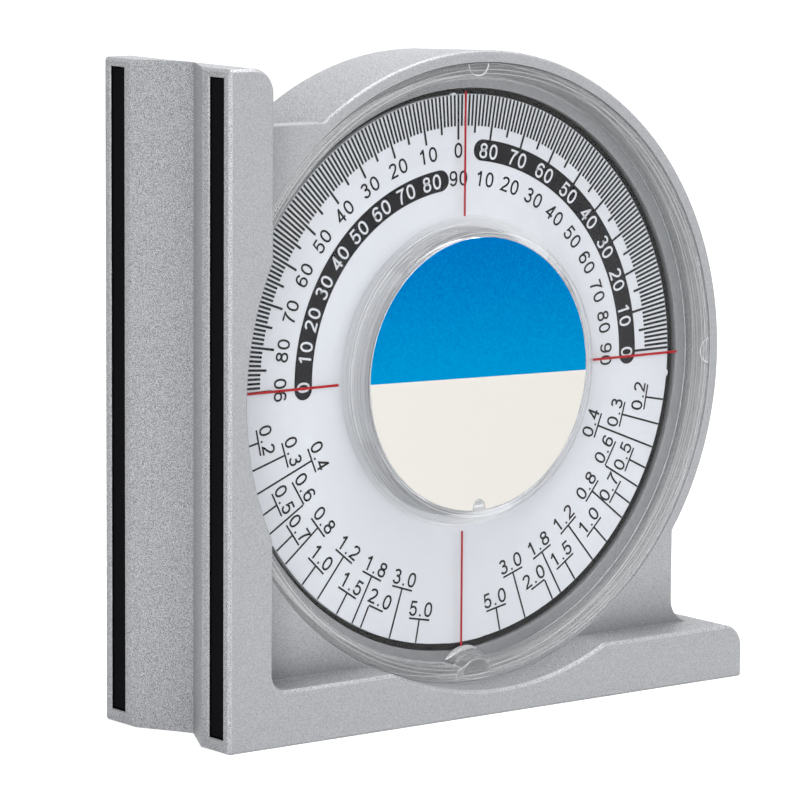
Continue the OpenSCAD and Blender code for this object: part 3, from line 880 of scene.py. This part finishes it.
def figure(text, angle, radius, outwards=True, across=0.0):
    """Text centred at a clock angle and radius; its top points outwards or to the axis."""
    widths = [DOT_BOX_W if letter == "." else BOX_W for letter in text]
    pen = -(sum(widths) + BOX_GAP * (len(text) - 1)) / 2
    sign = 1 if outwards else -1
    placed = []
    for letter, width in zip(text, widths):
        for line in FIGURE_LINES[letter]:
            for quad in stroke_quads(line, STROKE):
                placed.append([clock_point(angle, radius + sign * (y - 0.5) * FIGURE_H,
                                           across + sign * (x + pen) * FIGURE_H, DIAL_TILT)
                               for x, y in quad])
        pen += width + BOX_GAP
    return placed


# %% [markdown]
# Two rows of figures name the tens of degrees. The outer row counts up from the top to the left
# and down to the right, and the inner row does the opposite. Figures that count down are white
# and stand on the bands. A loop writes all four quarters at once.

# %% Two rows of figures
OUTER_ROW, INNER_ROW = 35.35, 30.85
black_figures = figure("0", 0, OUTER_ROW) + figure("90", 0, INNER_ROW)
white_figures = []
for tens in range(10, 100, 10):
    black_figures += figure(str(tens), -tens, OUTER_ROW)
    black_figures += figure(str(tens), tens, INNER_ROW)
    white_figures += figure(str(90 - tens), tens, OUTER_ROW)
    white_figures += figure(str(90 - tens), -tens, INNER_ROW)
print("degree figures:", len(black_figures), "black and", len(white_figures), "white quads")

# %% [markdown]
# ## The slope scale
#
# The lower half reads slope as rise over run, so a figure stands where a line of that slope
# would cross the dial. The places could be measured one by one, but the arc tangent of the slope
# gives them all. Each figure has a short bar under it and a line from the bar to the dial's edge.
# Three rows keep the crowded figures apart, and two bars are cut short to leave room.

# %% The slope scale
SLOPE_ROWS = {40.4: (0.2, 0.5, 0.7, 1.0, 1.5, 2.0, 5.0), 36.0: (0.3, 0.6, 0.8, 1.2, 1.8, 3.0),
              31.5: (0.4,)}
SLOPE_W = 0.32
BAR_L = 4.2
BAR_TO_FIGURE = 0.45
ONE_SIDED = {0.6: (-4.4, 0.0, -2.2), 2.0: (0.0, 3.1, 1.7)}

slopes = []
for row, values in SLOPE_ROWS.items():
    for value in values:
        slope_angle = math.degrees(math.atan(value))
        start, stop, middle = ONE_SIDED.get(value, (-BAR_L / 2, BAR_L / 2, 0.0))
        for side in (1, -1):
            angle = side * (90 + slope_angle)
            ends = [clock_point(angle, r, side * t, DIAL_TILT)
                    for t, r in ((start, row - SLOPE_W / 2), (stop, row - SLOPE_W / 2),
                                 (stop, row + SLOPE_W / 2), (start, row + SLOPE_W / 2))]
            slopes.append(ends)
            slopes.append(radial_stroke(angle, row + SLOPE_W / 2, DIAL_R - RIM_GAP, SLOPE_W))
            black_figures += figure("%.1f" % value, angle, row - BAR_TO_FIGURE - FIGURE_H / 2,
                                    outwards=False, across=side * middle)
print("slope scale:", len(slopes), "bars and lines")

# %% [markdown]
# All ink goes on in three prints: the marks, the black figures half a layer above them and the
# white figures a whole layer above the bands. On one level they would flicker into each other.

# %% Print the dial
for name, polygons, layers, ink in (
        ("dial_marks", ticks + bands + slopes, 1, ink_finish),
        ("dial_figures", black_figures, 1.5, ink_finish),
        ("dial_white_figures", white_figures, 2, dial_finish)):
    flat_piece(name, polygons, DIAL_FRONT + layers * INK_LIFT, ink, "dial_assembly")

# %% [markdown]
# ### Two stubs on the rim
#
# The dial's rim has two small stubs, like those left where a mould is filled: one near the top
# and one at the right. They could be joined to the dial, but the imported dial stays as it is, so
# they are a piece of their own that turns with it. Each is a thin block with a round nose that
# stands a little out of the rim.

# %% Stubs
STUB_AT = (-1.2, 95.5)
STUB_HALF_W, STUB_OUT, STUB_IN, STUB_T = 0.55, 0.35, 0.4, 0.6
STUB_STEPS, STUB_OVERLAP = 12, 0.02
stub_turns = [math.pi * i / STUB_STEPS for i in range(STUB_STEPS + 1)]
stub_verts, stub_faces = [], []
for angle in STUB_AT:
    outline = [clock_point(angle, DIAL_R - STUB_IN, -STUB_HALF_W, DIAL_TILT)]
    outline += [clock_point(angle, DIAL_R - STUB_OVERLAP + STUB_OUT * math.sin(t),
                            -STUB_HALF_W * math.cos(t), DIAL_TILT) for t in stub_turns]
    outline.append(clock_point(angle, DIAL_R - STUB_IN, STUB_HALF_W, DIAL_TILT))
    first, n = len(stub_verts), len(outline)
    stub_verts += [on_tool(x, y, DIAL_FRONT + INK_LIFT / 2) for x, y in outline]
    stub_verts += [on_tool(x, y, DIAL_FRONT - STUB_T) for x, y in outline]
    stub_faces.append([first + i for i in range(n)][::-1])
    stub_faces.append([first + n + i for i in range(n)])
    stub_faces += [[first + i, first + (i + 1) % n, first + n + (i + 1) % n, first + n + i]
                   for i in range(n)]
stub_mesh = bpy.data.meshes.new("dial_stubs")
stub_mesh.from_pydata([tuple(v) for v in stub_verts], [], stub_faces)
stub_mesh.materials.append(dial_finish)
stubs = put_in("dial_stubs", stub_mesh)
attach(stubs, "dial_assembly")
print("stubs:", len(STUB_AT), "on the rim,", len(stub_faces), "faces")

# %% [markdown]
# ## The red cross
#
# Four fine red lines are painted on the back of the lens and point at the axis. The reading is
# where a line crosses the scale. Two long lines would run through the raised centre, so there are
# four strips, which start beside it and end at the drum's bore.

# %% The red cross
CROSS_W = 0.42
CROSS_SHIFT = (0.15, -0.25)
CROSS_REACH = ((0, 25.1, 45.1), (90, 26.3, 45.2), (180, 25.6, 44.8), (270, 24.9, 45.0))
cross = []
for angle, r_from, r_to in CROSS_REACH:
    line = radial_stroke(angle, r_from, r_to, CROSS_W, turn=0.0)
    cross.append([(x + CROSS_SHIFT[0], y + CROSS_SHIFT[1]) for x, y in line])
flat_piece("red_cross", cross, LENS_BACK - INK_LIFT, red_finish, "housing")

# %% [markdown]
# ## The studio
#
# The tool stands on a white sweep. The sweep looks white to the camera, in reflections and
# through the lens, but keeps the tool's shadow. A picture of a real room could light the tool,
# but lamps are easier to steer. Three large soft ones do it: the strongest from above, one from
# the left front, one from the right.

# %% Lamps
def area_lamp(name, place, target, width, height, power):
    """Soft rectangular lamp that points at a target: lengths in millimetres, power in watts."""
    lamp = bpy.data.lights.new(name, "AREA")
    lamp.shape = "RECTANGLE"
    lamp.size, lamp.size_y = width * MM, height * MM
    lamp.energy = power
    holder = put_in(name, lamp)
    holder.location = Vector(place) * MM
    aim = Vector(target) * MM - holder.location
    holder.rotation_mode = "QUATERNION"
    holder.rotation_quaternion = aim.to_track_quat("-Z", "Y")


MIDDLE = (0, 0, 52)
area_lamp("top_lamp", (100, -30, 620), MIDDLE, 520, 420, 4.0)
area_lamp("left_lamp", (-540, -545, 160), MIDDLE, 420, 420, 3.15)
area_lamp("right_lamp", (420, -620, 240), MIDDLE, 420, 420, 0.5)
print("lamps:", len(bpy.data.lights))

# %% [markdown]
# The sweep itself is a matt white that takes the tool's shadow. More lamps would make it whiter,
# but wash out the tool. So it glows, but only for rays that come from the camera, from a
# reflection or through the lens, and a little less near the tool, where the lamps light it. The
# casting's sheen and the dial behind the lens pick up some of this white, so their colours were
# chosen with it switched on.

# %% Rays that see white
def sees_white(tree):
    """1 for rays of the camera, of reflections and through the lens, else 0."""
    path = tree.nodes.new("ShaderNodeLightPath")
    glossy_or_bent = value_node(tree, "MAXIMUM", path.outputs["Is Glossy Ray"],
                                path.outputs["Is Transmission Ray"])
    return value_node(tree, "MAXIMUM", path.outputs["Is Camera Ray"], glossy_or_bent)


def spread(tree, value, start, first, end, last):
    """Number that runs from first to last while a value runs from start to end."""
    span = tree.nodes.new("ShaderNodeMapRange")
    for socket, number in (("From Min", start), ("From Max", end), ("To Min", first),
                           ("To Max", last)):
        span.inputs[socket].default_value = number
    tree.links.new(value, span.inputs["Value"])
    return span.outputs["Result"]


# %% [markdown]
# The glow is added to the matt white. A curved sweep would need a mesh of its own, but with the
# room white too, one large flat square looks the same.

# %% The white sweep
GLOW_NEAR, GLOW_FAR = 0.78, 1.0
GLOW_FROM, GLOW_TO = 130, 420
SWEEP_WHITE = 0.68
floor_finish, shader, tree = finish_of("white_sweep", (SWEEP_WHITE,) * 3, 0.9,
                                       Specular_IOR_Level=0.0)
glow = tree.nodes.new("ShaderNodeEmission")
glow.inputs["Color"].default_value = (1, 1, 1, 1)
away = tree.nodes.new("ShaderNodeVectorMath")
away.operation = "LENGTH"
tree.links.new(own_place(tree), away.inputs[0])
strength = spread(tree, away.outputs["Value"], GLOW_FROM * MM, GLOW_NEAR, GLOW_TO * MM, GLOW_FAR)
tree.links.new(value_node(tree, "MULTIPLY", sees_white(tree), strength),
               glow.inputs["Strength"])
both = tree.nodes.new("ShaderNodeAddShader")
tree.links.new(shader.outputs["BSDF"], both.inputs[0])
tree.links.new(glow.outputs["Emission"], both.inputs[1])
tree.links.new(both.outputs["Shader"], tree.nodes["Material Output"].inputs["Surface"])

FLOOR_HALF = 3000
floor_mesh = bpy.data.meshes.new("floor")
corners = [(-1, -1), (1, -1), (1, 1), (-1, 1)]
floor_mesh.from_pydata([(x * FLOOR_HALF * MM, y * FLOOR_HALF * MM, 0) for x, y in corners], [],
                       [(0, 1, 2, 3)])
floor_mesh.materials.append(floor_finish)
floor = put_in("floor", floor_mesh)
print("sweep: glow from %.2f to %.2f" % (GLOW_NEAR, GLOW_FAR))

# %% [markdown]
# The room is white for the same rays. White for all light would flatten the tool, so for the rest
# it is a dim grey sky, darkest behind the tool and to its left.

# %% The room
DIM_SIDE = (-0.64, 0.77, 0.0)
AMBIENT_DIM, AMBIENT_BRIGHT = 0.02, 0.34

world = bpy.data.worlds.new("studio")
bpy.context.scene.world = world
world.use_nodes = True
tree = world.node_tree
ambient = tree.nodes["Background"]
ambient.inputs["Color"].default_value = (1, 1, 1, 1)
facing = tree.nodes.new("ShaderNodeVectorMath")
facing.operation = "DOT_PRODUCT"
facing.inputs[1].default_value = DIM_SIDE
tree.links.new(tree.nodes.new("ShaderNodeTexCoord").outputs["Generated"], facing.inputs[0])
tree.links.new(spread(tree, facing.outputs["Value"], -1, AMBIENT_BRIGHT, 1, AMBIENT_DIM),
               ambient.inputs["Strength"])
white = tree.nodes.new("ShaderNodeBackground")
white.inputs["Color"].default_value = (1, 1, 1, 1)
either = mixed_shader(tree, sees_white(tree), ambient.outputs["Background"],
                      white.outputs["Background"])
tree.links.new(either, tree.nodes["World Output"].inputs["Surface"])
print("room: sky from %.2f to %.2f" % (AMBIENT_DIM, AMBIENT_BRIGHT))

# %% [markdown]
# ## The camera
#
# The photograph was taken from the left, a little above the dial, with a long lens. A camera set
# by eye comes near it, but its place, direction and focal length were solved from the tool's own
# corners and circles, so the outlines of the picture and the photograph can be compared.

# %% The camera
YAW, PITCH, ROLL = (math.radians(a) for a in (37.807, 8.192, -0.383))
CAMERA_AT = (-468.376, -594.868, 157.664)
FOCAL_PX, PICTURE_PX, SENSOR_W = 4752.3, 800, 36.0

forward = Vector((math.sin(YAW) * math.cos(PITCH), math.cos(YAW) * math.cos(PITCH),
                  -math.sin(PITCH)))
level_right = Vector((math.cos(YAW), -math.sin(YAW), 0))
down = forward.cross(level_right)
right = level_right * math.cos(ROLL) + down * math.sin(ROLL)
up = level_right * math.sin(ROLL) - down * math.cos(ROLL)
camera = bpy.data.cameras.new("camera")
camera.lens = FOCAL_PX / PICTURE_PX * SENSOR_W
camera.sensor_width = SENSOR_W
camera.clip_start, camera.clip_end = 0.05, 20
stand = put_in("camera", camera)
stand.matrix_world = Matrix((
    (right.x, up.x, -forward.x, CAMERA_AT[0] * MM),
    (right.y, up.y, -forward.y, CAMERA_AT[1] * MM),
    (right.z, up.z, -forward.z, CAMERA_AT[2] * MM),
    (0, 0, 0, 1)))
bpy.context.scene.camera = stand
bpy.context.scene.view_settings.view_transform = "Standard"
print("camera lens %.1f mm" % camera.lens)
